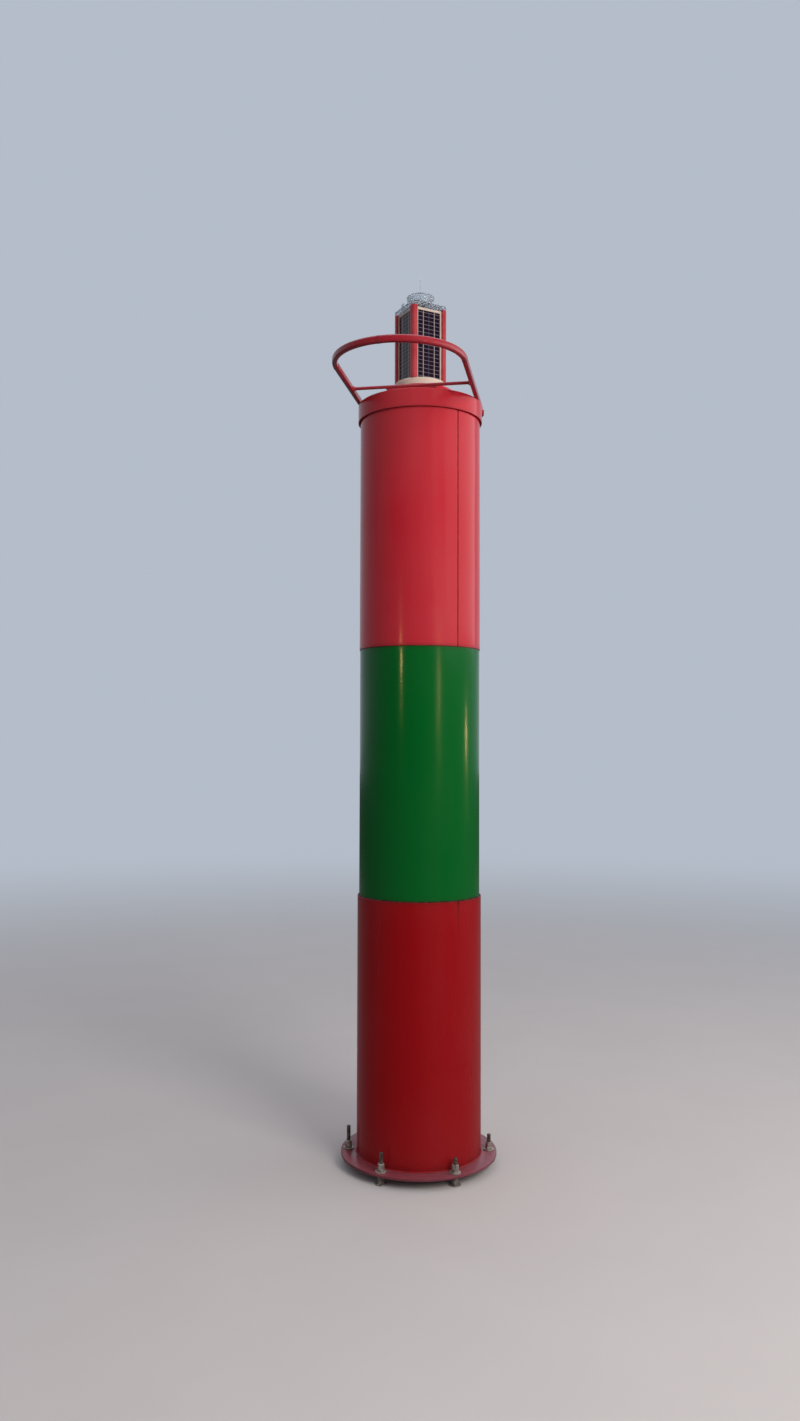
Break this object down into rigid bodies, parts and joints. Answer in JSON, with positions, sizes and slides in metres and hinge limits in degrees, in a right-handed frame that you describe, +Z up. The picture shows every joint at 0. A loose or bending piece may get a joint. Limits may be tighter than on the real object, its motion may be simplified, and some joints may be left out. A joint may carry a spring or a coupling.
{
  "type": "quay-side navigation light beacon",
  "caption": "Fixed red and green banded steel light column on levelling studs, with a lid, a level U-shaped guard, and a square solar lantern under a clear lens.",
  "frame": {"origin": "on the floor under the column's axis, at the centre of the anchor stud circle", "axes": "+Z up along the column; -Y towards the side seen in the picture; +X to the right in the picture"},
  "size_m": [0.6424, 1.0418, 3.5815],
  "materials": {
    "red_paint": "gloss enamel",
    "green_paint": "gloss enamel",
    "galvanised_steel": "dull galvanised",
    "cream_plastic": "satin",
    "red_plastic": "gloss",
    "solar_glass": "gloss",
    "black_plastic": "matte",
    "clear_plastic": "clear gloss",
    "white_plastic": "matte"
  },
  "bodies": {
    "root": {"base_plate": "red_paint", "anchor_studs": "galvanised_steel", "foot_washers": "galvanised_steel", "levelling_nuts": "galvanised_steel", "under_washers": "galvanised_steel", "clamp_washers": "galvanised_steel", "clamp_nuts": "galvanised_steel", "shell_lower": "red_paint", "shell_middle": "green_paint", "shell_upper": "red_paint", "lid": "red_paint", "guard_bend": "red_paint", "guard_leg_left": "red_paint", "guard_leg_right": "red_paint", "guard_crossbar": "red_paint", "guard_tab": "red_paint", "guard_lugs": "red_paint", "pedestal_drum": "red_paint", "pedestal_plate": "red_paint", "lantern_foot": "cream_plastic", "lantern_posts": "red_plastic", "panel_frames": "cream_plastic", "panel_glass": "solar_glass", "lantern_core": "black_plastic", "top_cover": "clear_plastic", "cover_clips": "clear_plastic", "lens_drum": "clear_plastic", "lens_cap": "clear_plastic", "light_tower": "white_plastic", "bird_spike": "galvanised_steel"}
  },
  "joints": []
}
